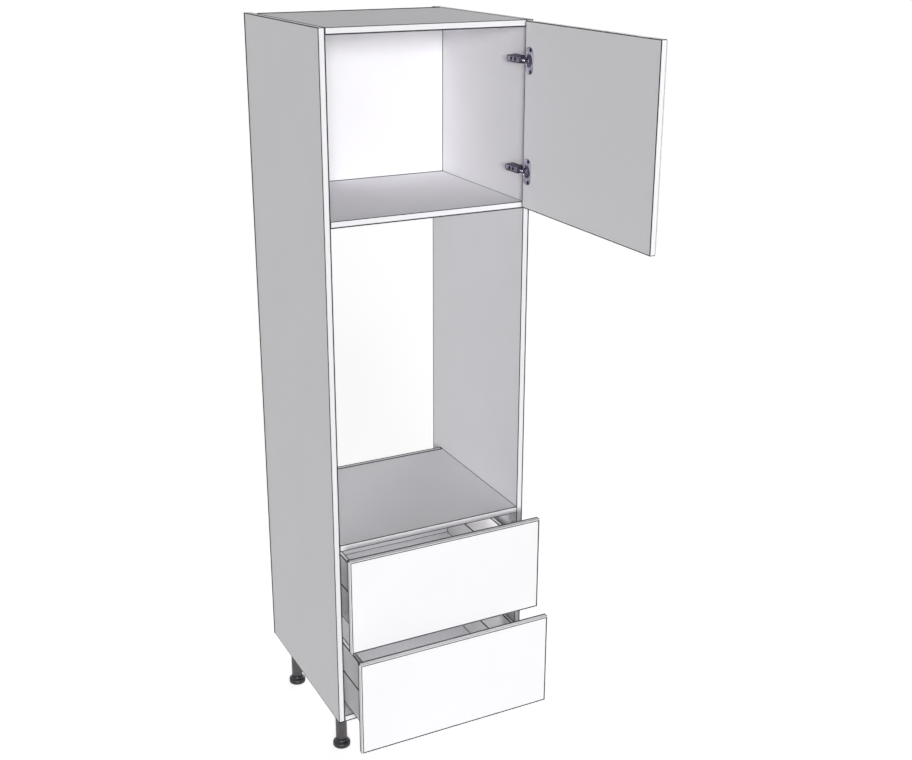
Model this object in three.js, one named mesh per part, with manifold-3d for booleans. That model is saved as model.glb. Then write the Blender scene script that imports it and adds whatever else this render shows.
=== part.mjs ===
// Tall oven housing unit: a carcass on four adjustable legs, with a hinged top cupboard, an open
// oven bay and two drawers. Millimetres, +Z up, the front towards -Y, the floor at Z = 0.
// It is shown as it stands in use: door open at a right angle, drawers drawn out part of the way.
import * as THREE from 'three';
import { mergeVertices } from 'three/addons/utils/BufferGeometryUtils.js';
import Module from 'manifold-3d';

const wasm = await Module();
wasm.setup();

// Carcass
const carcassWidth = 600;
const carcassHeight = 1970;
const carcassDepth = 560;
const boardThickness = 18;
const serviceVoid = 52; // duct behind the back panels
const drawerZoneHeight = 572; // foot of the carcass to the top of the oven shelf
const ovenHeight = 900;

// Legs
const legHeight = 150;
const legInsetSide = 44;
const legInsetFront = 99;
const legInsetBack = 79;
const socketRadius = 26.5;
const socketPlate = 5;
const collarRadius = 18.5;
const collarHeight = 22;
const tubeRadius = 15.5;
const tubeFoot = 54; // floor to the lower end of the leg tube
const neckRadius = 14;
const neckReach = 46; // neck of the foot inside the tube
const footRadius = 25.5;
const footHeight = 20;
const footProfileShares = [
  [0.92, 0],
  [1, 0.1],
  [1, 0.5],
  [0.94, 0.66],
  [0.75, 0.84],
  [0.6, 0.93],
];
const legClearance = 0.4;

// Fronts: the door and the two drawer fronts
const frontThickness = 18;
const frontEdgeRadius = 4;
const frontGap = 2.5; // between a closed front and the carcass
const frontReveal = 2; // from a front's edge to the carcass's outer face
const frontSpacing = 2; // between the drawer fronts
const frontRise = 3; // upper drawer front above the oven shelf
const doorOverlap = 13; // door below the top of the upper shelf

// Drawer boxes
const upperDrawerOpen = 88;
const lowerDrawerOpen = 147;
const drawerSideGap = 27; // carcass to the steel profile
const drawerRearClearance = 14.5; // from a closed drawer to the back panel
const profileFoot = 20.5; // above the lower edge of the front
const profileHeight = 103.5;
const profileWidth = 14;
const profileSheet = 1.2;
const profileEdgeRadius = 3.5;
const sidePanelThickness = 12;
const sidePanelHeight = 93;
const drawerBottomFoot = 27;
const drawerBottomThickness = 16;
const drawerBackThickness = 16;
const drawerBackDrop = 5; // below the top of the side panels
const bracketSheet = 2;
const bracketLength = 60;
const bracketHeight = 40;
const bracketDrop = 8; // below the profile's inner top

// Runners: a trough on the carcass, a middle rail and a drawer rail, each capping the one below
const cabinetRailSetback = 65;
const cabinetRailRearClearance = 15;
const middleRailSetback = 68;
const drawerRailSetback = 74.5; // behind the drawer front
const drawerRailRearInset = 3.5; // from the drawer's rear end
const cabinetRailSheet = 1.5;
const cabinetRailHeight = 38;
const cabinetFlangeHeight = 42;
const slidingRailSheet = 1.2;
const runnerClearance = 0.35;
const railFootStep = 4; // each sliding rail ends this much above the one that carries it

// Door hinges
const hingeEndShare = 0.2037; // of the door's height, from each end
const pivotFromEdge = 8.5; // the door turns about this point of its own closed section
const pivotFromFace = 17;
const cupRadius = 17.5;
const cupDepth = 13;
const cupWall = 0.8;
const cupFromEdge = 21.5;
const cupClearance = 0.3;
const cheekThickness = 1.2; // two plates inside the cup guide the link's tip
const cheekDrop = 0.8; // below the cup's mouth
const cheekReach = 20; // from the cup's hinge side
const flangeWidth = 36;
const flangeHeight = 68;
const flangeThickness = 1.2;
const flangeCornerRadius = 15;
const plateThickness = 7.5;
const plateSetback = 8;
const plateLength = 56;
const armWidth = 18;
const armLength = 70;
const armDepth = 13;
const armSheet = 1.5;
const linkPinSetback = 3;
const linkPinDepth = 4.5; // below the arm's outer face
const linkPinRadius = 1.5;
const linkEyeRadius = 2.7;
const linkThickness = 2.5;
const linkWidth = 10;
const linkTipDepth = 2.5; // inside the cup's mouth
const linkTipFromEdge = 8.6;

// Round work
const legSteps = 24;
const cupSteps = 32;
const pinSteps = 12;
const cornerSteps = 4;
const cutOverrun = 1;

// Levels and faces that several pieces share
const halfWidth = carcassWidth / 2;
const innerX = halfWidth - boardThickness;
const carcassFoot = legHeight;
const carcassTop = carcassFoot + carcassHeight;
const bottomPanelTop = carcassFoot + boardThickness;
const ovenShelfTop = carcassFoot + drawerZoneHeight;
const upperShelfTop = ovenShelfTop + ovenHeight + boardThickness;
const backRear = carcassDepth - serviceVoid;
const backFront = backRear - boardThickness;
const drawerLength = backFront + frontGap - drawerRearClearance;
const slidingRailLength = drawerLength - drawerRailSetback - drawerRailRearInset;
const cabinetRailLength = backFront - cabinetRailSetback - cabinetRailRearClearance;
const drawerFrontHeight = (drawerZoneHeight + frontRise - frontSpacing) / 2;
const upperFrontFoot = carcassFoot + drawerFrontHeight + frontSpacing;
const doorWidth = carcassWidth - 2 * frontReveal;
const doorFoot = upperShelfTop - doorOverlap;
const doorTop = carcassTop - frontReveal;
const hingeFromDoorEnd = hingeEndShare * (doorTop - doorFoot);
const doorPivot = new THREE.Vector2(
  halfWidth - frontReveal - pivotFromEdge,
  -frontGap - pivotFromFace,
);
const doorInnerX = doorPivot.x - pivotFromFace;
const doorHingeEdgeY = doorPivot.y + pivotFromEdge;
const doorFreeEdgeY = doorHingeEdgeY - doorWidth;

// Materials
function material(color, roughness, metalness) {
  return new THREE.MeshStandardMaterial({ color, roughness, metalness });
}
const whiteBoard = material(0xf4f3f1, 0.5, 0);
const whiteFront = material(0xf8f7f5, 0.35, 0);
const whiteSteel = material(0xe9e8e8, 0.4, 0.1);
const zincSteel = material(0xb4b5ba, 0.35, 0.9);
const nickelSteel = material(0x96919f, 0.3, 0.9);
const charcoalPlastic = material(0x3b383c, 0.55, 0);

const unit = new THREE.Group();

function addPiece(name, geometry, surface) {
  const mesh = new THREE.Mesh(geometry, surface);
  mesh.name = name;
  unit.add(mesh);
}

// Solids and their joins
function toSolid(geometry) {
  const bare = geometry.clone();
  bare.deleteAttribute('normal');
  bare.deleteAttribute('uv');
  const merged = mergeVertices(bare);
  return new wasm.Manifold(
    new wasm.Mesh({
      numProp: 3,
      vertProperties: new Float32Array(merged.attributes.position.array),
      triVerts: new Uint32Array(merged.index.array),
    }),
  );
}

function toGeometry(solid) {
  const mesh = solid.getMesh();
  const geometry = new THREE.BufferGeometry();
  geometry.setAttribute('position', new THREE.BufferAttribute(mesh.vertProperties, 3));
  geometry.setIndex(new THREE.BufferAttribute(mesh.triVerts, 1));
  geometry.computeVertexNormals();
  return geometry;
}

// A straight block between two opposite corners.
function block(low, high) {
  const geometry = new THREE.BoxGeometry(1, 1, 1).translate(0.5, 0.5, 0.5);
  geometry.scale(high[0] - low[0], high[1] - low[1], high[2] - low[2]);
  return geometry.translate(low[0], low[1], low[2]);
}

// Turns a form drawn flat, with its thickness from 0 to 1, to run along an axis between two places.
// Along X the drawing's axes become Y and Z, along Y they become X and Z, along Z they stay.
function layAlong(geometry, axis, from, to) {
  const run = to - from;
  const place = new THREE.Matrix4();
  if (axis === 'x') place.set(0, 0, run, from, 1, 0, 0, 0, 0, 1, 0, 0, 0, 0, 0, 1);
  if (axis === 'y') place.set(1, 0, 0, 0, 0, 0, -run, to, 0, 1, 0, 0, 0, 0, 0, 1);
  if (axis === 'z') place.set(1, 0, 0, 0, 0, 1, 0, 0, 0, 0, run, from, 0, 0, 0, 1);
  return geometry.applyMatrix4(place);
}

function prism(points, axis, from, to) {
  const outline = new THREE.Shape(points.map(([u, v]) => new THREE.Vector2(u, v)));
  const flat = new THREE.ExtrudeGeometry(outline, { depth: 1, bevelEnabled: false });
  return layAlong(flat, axis, from, to);
}

function circlePoints(centreU, centreV, radius, steps) {
  const points = [];
  for (let i = 0; i < steps; i++) {
    const angle = (2 * Math.PI * i) / steps;
    points.push([centreU + radius * Math.cos(angle), centreV + radius * Math.sin(angle)]);
  }
  return points;
}

// A rectangle with round corners, from its middle.
function roundedRectanglePoints(centreU, centreV, width, height, radius) {
  const points = [];
  const corners = [
    [1, 1],
    [-1, 1],
    [-1, -1],
    [1, -1],
  ];
  corners.forEach(([signU, signV], quarter) => {
    const u = centreU + signU * (width / 2 - radius);
    const v = centreV + signV * (height / 2 - radius);
    for (let i = 0; i <= cornerSteps; i++) {
      const angle = (Math.PI / 2) * (quarter + i / cornerSteps);
      points.push([u + radius * Math.cos(angle), v + radius * Math.sin(angle)]);
    }
  });
  return points;
}

function roundBar(axis, centreU, centreV, radius, from, to, steps) {
  return prism(circlePoints(centreU, centreV, radius, steps), axis, from, to);
}

// A turned piece: [radius, height] pairs from the axis and back to it, standing on (x, y).
function turned(profile, x, y) {
  const points = profile.map(([radius, height]) => new THREE.Vector2(radius, height));
  const geometry = new THREE.LatheGeometry(points, legSteps);
  return geometry.rotateX(Math.PI / 2).translate(x, y, 0);
}

// A front panel drawn flat: its inner face at 0, its outer face at 1 with rounded edges.
function softFront(width, height) {
  const radius = frontEdgeRadius;
  const inset = new THREE.Shape([
    new THREE.Vector2(radius, radius),
    new THREE.Vector2(width - radius, radius),
    new THREE.Vector2(width - radius, height - radius),
    new THREE.Vector2(radius, height - radius),
  ]);
  const pillow = new THREE.ExtrudeGeometry(inset, {
    depth: frontThickness - radius,
    bevelSize: radius,
    bevelThickness: radius,
    bevelSegments: cornerSteps,
  });
  const keep = block(
    [-cutOverrun, -cutOverrun, 0],
    [width + cutOverrun, height + cutOverrun, frontThickness + cutOverrun],
  );
  const solid = toSolid(pillow).intersect(toSolid(keep));
  return toGeometry(solid).scale(1, 1, 1 / frontThickness);
}

// Carcass panels
function addCarcass() {
  const sides = [
    ['left_side_panel', -halfWidth, -innerX],
    ['right_side_panel', innerX, halfWidth],
  ];
  for (const [name, lowX, highX] of sides) {
    addPiece(name, block([lowX, 0, carcassFoot], [highX, carcassDepth, carcassTop]), whiteBoard);
  }
  const shelves = [
    ['top_panel', carcassTop, backRear],
    ['upper_shelf', upperShelfTop, backRear],
    ['oven_shelf', ovenShelfTop, backFront],
    ['bottom_panel', bottomPanelTop, backRear],
  ];
  for (const [name, top, rear] of shelves) {
    addPiece(name, block([-innerX, 0, top - boardThickness], [innerX, rear, top]), whiteBoard);
  }
  const backs = [
    ['upper_back_panel', upperShelfTop, carcassTop - boardThickness],
    ['lower_back_panel', bottomPanelTop, ovenShelfTop],
  ];
  for (const [name, foot, top] of backs) {
    addPiece(name, block([-innerX, backFront, foot], [innerX, backRear, top]), whiteBoard);
  }
}

// One leg: a socket screwed under the carcass, a tube in it and a foot that screws into the tube
function addLeg(name, x, y) {
  const plateFoot = legHeight - socketPlate;
  const collarBore = tubeRadius + legClearance;
  const tubeTop = plateFoot - legClearance;
  const tubeBore = neckRadius + legClearance;
  const neckTop = tubeFoot + neckReach;
  const socket = [
    [0, plateFoot],
    [collarBore, plateFoot],
    [collarBore, plateFoot - collarHeight],
    [collarRadius, plateFoot - collarHeight],
    [collarRadius, plateFoot],
    [socketRadius, plateFoot],
    [socketRadius, legHeight],
    [0, legHeight],
  ];
  const tube = [
    [0, neckTop + legClearance],
    [tubeBore, neckTop + legClearance],
    [tubeBore, tubeFoot],
    [tubeRadius, tubeFoot],
    [tubeRadius, tubeTop],
    [0, tubeTop],
  ];
  const foot = [
    [0, 0],
    ...footProfileShares.map(([r, h]) => [r * footRadius, h * footHeight]),
    [neckRadius, footHeight],
    [neckRadius, neckTop],
    [0, neckTop],
  ];
  addPiece(`${name}_leg_socket`, turned(socket, x, y), charcoalPlastic);
  addPiece(`${name}_leg_tube`, turned(tube, x, y), charcoalPlastic);
  addPiece(`${name}_leg_foot`, turned(foot, x, y), charcoalPlastic);
}

function addLegs() {
  const x = halfWidth - legInsetSide;
  addLeg('front_left', -x, legInsetFront);
  addLeg('front_right', x, legInsetFront);
  addLeg('rear_left', -x, carcassDepth - legInsetBack);
  addLeg('rear_right', x, carcassDepth - legInsetBack);
}

// The three rails of one runner, on the side that sign gives: -1 left, 1 right
function addRunner(drawer, side, sign, frontFoot, open) {
  const mirror = (points) => points.map(([x, z]) => [sign * x, z]);
  const foot = frontFoot + boardThickness;
  const middleX = innerX - drawerSideGap - profileWidth / 2;
  const hollow = profileWidth / 2 - profileSheet;
  const riser = cabinetRailSheet / 2;
  const riserTop = foot + cabinetRailHeight;
  const trough = [
    [middleX - riser, foot],
    [innerX, foot],
    [innerX, foot + cabinetFlangeHeight],
    [innerX - cabinetRailSheet, foot + cabinetFlangeHeight],
    [innerX - cabinetRailSheet, foot + cabinetRailSheet],
    [middleX + riser, foot + cabinetRailSheet],
    [middleX + riser, riserTop],
    [middleX - riser, riserTop],
  ];
  const middleInner = riser + runnerClearance;
  const middleOuter = middleInner + slidingRailSheet;
  const middleFoot = foot + cabinetRailSheet + railFootStep;
  const middleCeiling = riserTop + runnerClearance;
  const middleTop = middleCeiling + slidingRailSheet;
  const middle = [
    [middleX - middleOuter, middleFoot],
    [middleX - middleInner, middleFoot],
    [middleX - middleInner, middleCeiling],
    [middleX + middleInner, middleCeiling],
    [middleX + middleInner, middleFoot],
    [middleX + middleOuter, middleFoot],
    [middleX + middleOuter, middleTop],
    [middleX - middleOuter, middleTop],
  ];
  const drawerInner = middleOuter + runnerClearance;
  const drawerOuter = drawerInner + slidingRailSheet;
  const drawerFoot = middleFoot + railFootStep;
  const drawerCeiling = middleTop + runnerClearance;
  const drawerTop = drawerCeiling + slidingRailSheet;
  const cap = [
    [middleX - drawerOuter, drawerFoot],
    [middleX - drawerInner, drawerFoot],
    [middleX - drawerInner, drawerCeiling],
    [middleX + drawerInner, drawerCeiling],
    [middleX + drawerInner, drawerFoot],
    [middleX + drawerOuter, drawerFoot],
    [middleX + drawerOuter, drawerCeiling],
    [middleX + hollow, drawerCeiling],
    [middleX + hollow, drawerTop],
    [middleX - hollow, drawerTop],
    [middleX - hollow, drawerCeiling],
    [middleX - drawerOuter, drawerCeiling],
  ];
  const middleFront = middleRailSetback - open / 2;
  const drawerFront = drawerRailSetback - frontGap - open;
  const rails = [
    ['cabinet_rail', trough, cabinetRailSetback, cabinetRailLength],
    ['middle_rail', middle, middleFront, slidingRailLength],
    ['drawer_rail', cap, drawerFront, slidingRailLength],
  ];
  for (const [name, points, front, length] of rails) {
    const rail = prism(mirror(points), 'y', front, front + length);
    addPiece(`${drawer}_drawer_${side}_${name}`, rail, zincSteel);
  }
}

// Steel drawer side: a channel with a round back, open below, that hides the runner
function profilePoints(middleX, foot) {
  const half = profileWidth / 2;
  const top = foot + profileHeight;
  const inner = half - profileSheet;
  const arc = (centreX, start) => {
    const points = [];
    for (let i = 0; i <= cornerSteps; i++) {
      const angle = start - (Math.PI / 2) * (i / cornerSteps);
      points.push([
        centreX + profileEdgeRadius * Math.cos(angle),
        top - profileEdgeRadius + profileEdgeRadius * Math.sin(angle),
      ]);
    }
    return points;
  };
  return [
    [middleX - half, foot],
    ...arc(middleX - half + profileEdgeRadius, Math.PI),
    ...arc(middleX + half - profileEdgeRadius, Math.PI / 2),
    [middleX + half, foot],
    [middleX + inner, foot],
    [middleX + inner, top - profileEdgeRadius],
    [middleX - inner, top - profileEdgeRadius],
    [middleX - inner, foot],
  ];
}

function addDrawerSide(drawer, side, sign, frontFoot, front) {
  const rear = front + drawerLength;
  const middleX = sign * (innerX - drawerSideGap - profileWidth / 2);
  const foot = frontFoot + profileFoot;
  const profileTop = foot + profileHeight;
  const profile = prism(profilePoints(middleX, foot), 'y', front, rear);
  addPiece(`${drawer}_drawer_${side}_profile`, profile, whiteSteel);
  const halfPanel = sidePanelThickness / 2;
  const panel = block(
    [middleX - halfPanel, front, profileTop],
    [middleX + halfPanel, rear, profileTop + sidePanelHeight],
  );
  addPiece(`${drawer}_drawer_${side}_side_panel`, panel, whiteSteel);
  const hollow = profileWidth / 2 - profileSheet;
  const wallX = middleX - sign * hollow;
  const farX = middleX + sign * (hollow - runnerClearance);
  const legX = wallX + sign * bracketSheet;
  const bracketTop = profileTop - profileEdgeRadius - bracketDrop;
  const bracket = [
    [wallX, front],
    [farX, front],
    [farX, front + bracketSheet],
    [legX, front + bracketSheet],
    [legX, front + bracketLength],
    [wallX, front + bracketLength],
  ];
  const angle = prism(bracket, 'z', bracketTop - bracketHeight, bracketTop);
  addPiece(`${drawer}_drawer_${side}_front_bracket`, angle, zincSteel);
}

function addDrawer(drawer, frontFoot, open) {
  const front = -frontGap - open;
  const clearX = innerX - drawerSideGap - profileWidth;
  const bottomFoot = frontFoot + drawerBottomFoot;
  const bottomTop = bottomFoot + drawerBottomThickness;
  const sideTop = frontFoot + profileFoot + profileHeight + sidePanelHeight;
  const panel = layAlong(softFront(doorWidth, drawerFrontHeight), 'y', front - frontThickness, front);
  panel.translate(-doorWidth / 2, 0, frontFoot);
  addPiece(`${drawer}_drawer_front`, panel, whiteFront);
  const bottom = block([-clearX, front, bottomFoot], [clearX, front + drawerLength, bottomTop]);
  addPiece(`${drawer}_drawer_bottom`, bottom, whiteBoard);
  const back = block(
    [-clearX, front + drawerLength - drawerBackThickness, bottomTop],
    [clearX, front + drawerLength, sideTop - drawerBackDrop],
  );
  addPiece(`${drawer}_drawer_back`, back, whiteBoard);
  for (const [side, sign] of [['left', -1], ['right', 1]]) {
    addDrawerSide(drawer, side, sign, frontFoot, front);
    addRunner(drawer, side, sign, frontFoot, open);
  }
}

// One concealed hinge, at its height z. The door stands open, so its cup's mouth faces -X.
function addHinge(name, z) {
  const plateX = innerX - plateThickness;
  const armX = plateX - armDepth;
  const halfArm = armWidth / 2;
  const plate = block(
    [plateX, plateSetback, z - halfArm],
    [innerX, plateSetback + plateLength, z + halfArm],
  );
  addPiece(`${name}_hinge_plate`, plate, nickelSteel);

  const pinX = armX + linkPinDepth;
  const channel = [
    [armX, z - halfArm],
    [plateX, z - halfArm],
    [plateX, z - halfArm + armSheet],
    [armX + armSheet, z - halfArm + armSheet],
    [armX + armSheet, z + halfArm - armSheet],
    [plateX, z + halfArm - armSheet],
    [plateX, z + halfArm],
    [armX, z + halfArm],
  ];
  const pinHole = roundBar(
    'z',
    pinX,
    linkPinSetback,
    linkPinRadius + cupClearance,
    z - halfArm - cutOverrun,
    z + halfArm + cutOverrun,
    pinSteps,
  );
  const arm = toSolid(prism(channel, 'y', 0, armLength)).subtract(toSolid(pinHole));
  addPiece(`${name}_hinge_arm`, toGeometry(arm), nickelSteel);

  const halfLink = linkWidth / 2;
  const tipX = doorInnerX + linkTipDepth;
  const tipY = doorHingeEdgeY - linkTipFromEdge;
  const halfBar = linkThickness / 2;
  const lowZ = z - halfLink;
  const highZ = z + halfLink;
  const bar = block([pinX - halfBar, tipY - halfBar, lowZ], [pinX + halfBar, linkPinSetback, highZ]);
  const hook = block([pinX - halfBar, tipY - halfBar, lowZ], [tipX, tipY + halfBar, highZ]);
  const eye = roundBar('z', pinX, linkPinSetback, linkEyeRadius, lowZ, highZ, pinSteps);
  const tip = roundBar('z', tipX, tipY, halfBar, lowZ, highZ, pinSteps);
  const pin = roundBar('z', pinX, linkPinSetback, linkPinRadius, z - halfArm, z + halfArm, pinSteps);
  const link = [hook, eye, tip, pin].reduce((sum, form) => sum.add(toSolid(form)), toSolid(bar));
  addPiece(`${name}_hinge_link`, toGeometry(link), nickelSteel);

  const cupY = doorHingeEdgeY - cupFromEdge;
  const flangeOutline = roundedRectanglePoints(
    cupY,
    z,
    flangeWidth,
    flangeHeight,
    flangeCornerRadius,
  );
  const flange = prism(flangeOutline, 'x', doorInnerX - flangeThickness, doorInnerX);
  const cupEnd = doorInnerX + cupDepth;
  const mouth = doorInnerX - flangeThickness - cutOverrun;
  const pot = roundBar('x', cupY, z, cupRadius, doorInnerX - flangeThickness, cupEnd, cupSteps);
  const hollow = roundBar('x', cupY, z, cupRadius - cupWall, mouth, cupEnd - cupWall, cupSteps);
  const cheekLow = halfLink + cupClearance;
  let cup = toSolid(flange).add(toSolid(pot)).subtract(toSolid(hollow));
  for (const [low, high] of [
    [cheekLow, cheekLow + cheekThickness],
    [-cheekLow - cheekThickness, -cheekLow],
  ]) {
    const cheek = block(
      [doorInnerX + cheekDrop, cupY + cupRadius - cheekReach, z + low],
      [cupEnd, cupY + cupRadius, z + high],
    );
    cup = cup.add(toSolid(cheek).intersect(toSolid(pot)));
  }
  addPiece(`${name}_hinge_cup`, toGeometry(cup), nickelSteel);
}

function addDoor() {
  const hingeHeights = [
    ['upper', doorTop - hingeFromDoorEnd],
    ['lower', doorFoot + hingeFromDoorEnd],
  ];
  const flat = softFront(doorWidth, doorTop - doorFoot);
  const panel = layAlong(flat, 'x', doorInnerX, doorInnerX + frontThickness);
  panel.translate(0, doorFreeEdgeY, doorFoot);
  let door = toSolid(panel);
  for (const [name, z] of hingeHeights) {
    const bore = roundBar(
      'x',
      doorHingeEdgeY - cupFromEdge,
      z,
      cupRadius + cupClearance,
      doorInnerX - cutOverrun,
      doorInnerX + cupDepth + cupClearance,
      cupSteps,
    );
    door = door.subtract(toSolid(bore));
    addHinge(name, z);
  }
  addPiece('top_door_panel', toGeometry(door), whiteFront);
}

addCarcass();
addLegs();
addDrawer('upper', upperFrontFoot, upperDrawerOpen);
addDrawer('lower', carcassFoot, lowerDrawerOpen);
addDoor();

// The origin lies on the floor, under the middle of the ground that the open unit covers.
unit.position.y = -(doorFreeEdgeY + carcassDepth) / 2;

const ovenHousing = new THREE.Group();
ovenHousing.add(unit);

export default ovenHousing;
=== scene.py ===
import math

import bpy
from bpy.props import FloatProperty, FloatVectorProperty, IntProperty, PointerProperty
from bpy.types import Operator, Panel, PropertyGroup
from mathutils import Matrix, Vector


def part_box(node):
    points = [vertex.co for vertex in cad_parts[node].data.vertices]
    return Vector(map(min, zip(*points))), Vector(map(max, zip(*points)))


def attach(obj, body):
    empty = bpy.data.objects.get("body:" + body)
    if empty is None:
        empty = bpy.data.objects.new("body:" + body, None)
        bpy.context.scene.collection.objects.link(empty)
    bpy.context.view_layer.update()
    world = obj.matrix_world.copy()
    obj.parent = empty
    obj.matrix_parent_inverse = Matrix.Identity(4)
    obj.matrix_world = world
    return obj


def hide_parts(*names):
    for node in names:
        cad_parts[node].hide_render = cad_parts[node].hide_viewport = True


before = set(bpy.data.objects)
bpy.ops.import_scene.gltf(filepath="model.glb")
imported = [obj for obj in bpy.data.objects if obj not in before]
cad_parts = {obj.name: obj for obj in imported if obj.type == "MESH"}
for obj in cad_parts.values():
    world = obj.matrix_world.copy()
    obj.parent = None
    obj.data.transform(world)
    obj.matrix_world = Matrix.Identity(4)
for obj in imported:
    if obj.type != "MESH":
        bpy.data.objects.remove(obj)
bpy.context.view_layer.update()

bl_info = {
    "name": "Oven housing unit",
    "version": (1, 0, 0),
    "blender": (4, 5, 0),
    "location": "View3D > Sidebar > Housing",
    "description": "Finishes, edge lines, hinges, legs and stage of a tall oven housing unit",
    "category": "Object",
}

MM = 0.001
TOLERANCE = 0.01 * MM
WELD = 0.001 * MM
# How far a cutting block stands out of a piece
CLEAR = 5 * MM
CORNERS = ("front_left", "front_right", "rear_left", "rear_right")
DRAWERS = ("upper", "lower")
HINGES = ("upper", "lower")
SIDES = ("left", "right")
CARCASS_BOARDS = ("left_side_panel", "right_side_panel", "top_panel", "upper_shelf", "bottom_panel")
OVEN_SHELF = "oven_shelf"
BACK_BOARDS = ("upper_back_panel", "lower_back_panel")


def srgb(code):
    """Turns a hex colour as it is seen, such as "f4f3f1", to a shader's linear values."""
    channels = [int(code[i : i + 2], 16) / 255 for i in (0, 2, 4)]
    return [c / 12.92 if c <= 0.04045 else ((c + 0.055) / 1.055) ** 2.4 for c in channels]


def colour_property(name, description, code):
    return FloatVectorProperty(
        name=name,
        description=description,
        subtype="COLOR",
        size=3,
        min=0,
        max=1,
        default=srgb(code),
    )


def length_property(name, description, millimetres):
    return FloatProperty(
        name=name,
        description=description,
        unit="LENGTH",
        subtype="DISTANCE",
        precision=4,
        min=0,
        default=millimetres * MM,
    )


class HousingColours(PropertyGroup):
    """What each finish looks like in plain daylight."""

    melamine: colour_property("Melamine", "Carcass boards and drawer backs", "f2f1f4")
    satin_front: colour_property("Fronts", "Door and drawer fronts", "fcfbfd")
    # This dark is laid millimetres wide: a thin part is real glue, the rest is painted shade along
    # the edges.
    glue_line: colour_property("Glue line", "Thin seam along each banded edge", "38363a")
    powder_coat: colour_property("Drawer steel", "Sides of the drawer boxes", "eeedee")
    zinc: colour_property("Zinc", "Runners and brackets", "b9bac0")
    nickel: colour_property("Nickel", "Faces of the hinges", "c2bccd")
    arm_nickel: colour_property("Arm nickel", "Sunk panel on a hinge arm", "a39cb0")
    # On the cup's rim and insert this dark is painted shade; on the plate, arm and link it is their
    # colour.
    dark_nickel: colour_property("Dark nickel", "Rims and links of the hinges", "5b5369")
    # On the link's spring this bright nickel is a painted highlight along the link.
    bright_nickel: colour_property("Bright nickel", "Springs and rivets of the hinges", "e9e7f0")
    screw_black: colour_property("Screws", "Burnished screw heads", "1d1a20")
    leg_plastic: colour_property("Leg tubes", "Moulded plastic of the tubes", "4b484c")
    # On the feet this dark is their own plastic; on the sockets it is painted shadow under the
    # carcass.
    foot_plastic: colour_property("Feet", "Moulded plastic of the feet and sockets", "211f23")
    floor: colour_property("Floor", "Floor and backdrop", "fbfbfb")


class HousingSizes(PropertyGroup):
    """Sizes of the pieces that the solids leave plain."""

    # The seams, beads and edge lines are painted shade along the edges, far wider than a real glue
    # line.
    seam_width: length_property("Seam width", "Seam on the front of a banded edge", 1.7)
    back_seam_width: length_property("Back seam width", "Seam on the front of a back panel", 2.4)
    back_top_seam: length_property("Back top seam", "Seam on the top of a back panel", 4.6)
    side_seam_width: length_property("Side seam width", "Seam on a side or a top", 2.3)
    outer_seam_width: length_property("Outer seam width", "Seam at an outer end of a board", 3.4)
    front_rear_seam: length_property("Front's rear seam", "Seam round the rear of a front", 5)
    rear_bead: length_property("Rear bead", "How proud the bead of an outer rear edge stands", 2.2)
    seam_rise: length_property("Seam rise", "How proud the seam stands", 0.3)
    front_radius: length_property("Front edge radius", "Round outer edge of a front", 4)
    arm_sheet: length_property("Arm sheet", "Sheet thickness of a hinge arm", 1.5)
    screw_head: length_property("Screw head", "Diameter of a hinge screw's head", 10)
    round_steps: IntProperty(
        name="Round steps",
        description="Sides of a turned piece",
        default=64,
        min=12,
    )


def colours():
    return bpy.context.scene.housing_colours


def sizes():
    return bpy.context.scene.housing_sizes


# Modelling


def deselect():
    if bpy.context.mode != "OBJECT":
        bpy.ops.object.mode_set(mode="OBJECT")
    bpy.ops.object.select_all(action="DESELECT")


def activate(piece):
    """Selects one piece alone, in object mode."""
    deselect()
    piece.select_set(True)
    bpy.context.view_layer.objects.active = piece


def discard(*pieces):
    for piece in pieces:
        bpy.data.objects.remove(piece, do_unlink=True)


def edit():
    bpy.ops.object.mode_set(mode="EDIT")


def leave_edit():
    bpy.ops.object.mode_set(mode="OBJECT")


def near(value, goal):
    return abs(value - goal) < TOLERANCE


def add_block(name, low, high):
    """A box between two corners, with its place in its mesh."""
    deselect()
    low, high = Vector(low), Vector(high)
    bpy.ops.mesh.primitive_cube_add(size=1, location=(low + high) / 2, scale=high - low)
    bpy.ops.object.transform_apply(location=True, rotation=True, scale=True)
    piece = bpy.context.object
    piece.name = name
    return piece


def select_parts(piece, kind, wanted):
    """Edit mode, with only those corners, edges or faces selected for which wanted holds."""
    edit()
    bpy.ops.mesh.select_mode(type=kind)
    bpy.ops.mesh.select_all(action="DESELECT")
    leave_edit()
    parts = {"VERT": "vertices", "EDGE": "edges", "FACE": "polygons"}
    for part in getattr(piece.data, parts[kind]):
        part.select = wanted(part)
    edit()


def select_faces(piece, wanted):
    select_parts(piece, "FACE", wanted)


def move_corners(piece, wanted, shift):
    select_parts(piece, "VERT", lambda corner: wanted(corner.co))
    bpy.ops.transform.translate(value=shift)
    leave_edit()


def along(axis):
    """A test for edges that run along one axis."""
    others = [i for i in range(3) if i != axis]
    return lambda a, b: all(near(a[i], b[i]) for i in others)


def bevel_edges(piece, wanted, width, segments):
    """Rounds the edges for which wanted(one end, other end) holds."""
    ends = lambda line: (piece.data.vertices[i].co for i in line.vertices)
    select_parts(piece, "EDGE", lambda line: wanted(*ends(line)))
    bpy.ops.mesh.bevel(offset=width, segments=segments, affect="EDGES")
    leave_edit()


def apply_modifiers(piece):
    activate(piece)
    for modifier in list(piece.modifiers):
        bpy.ops.object.modifier_apply(modifier=modifier.name)


def soften(piece, arris, segments=2, sharp=40):
    """Rounds every edge over sharp degrees by arris millimetres and shades the rest smooth."""
    bevel = piece.modifiers.new("arris", "BEVEL")
    bevel.width = arris * MM
    bevel.segments = segments
    bevel.limit_method = "ANGLE"
    bevel.angle_limit = math.radians(sharp)
    apply_modifiers(piece)
    smooth(piece, sharp)


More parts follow.
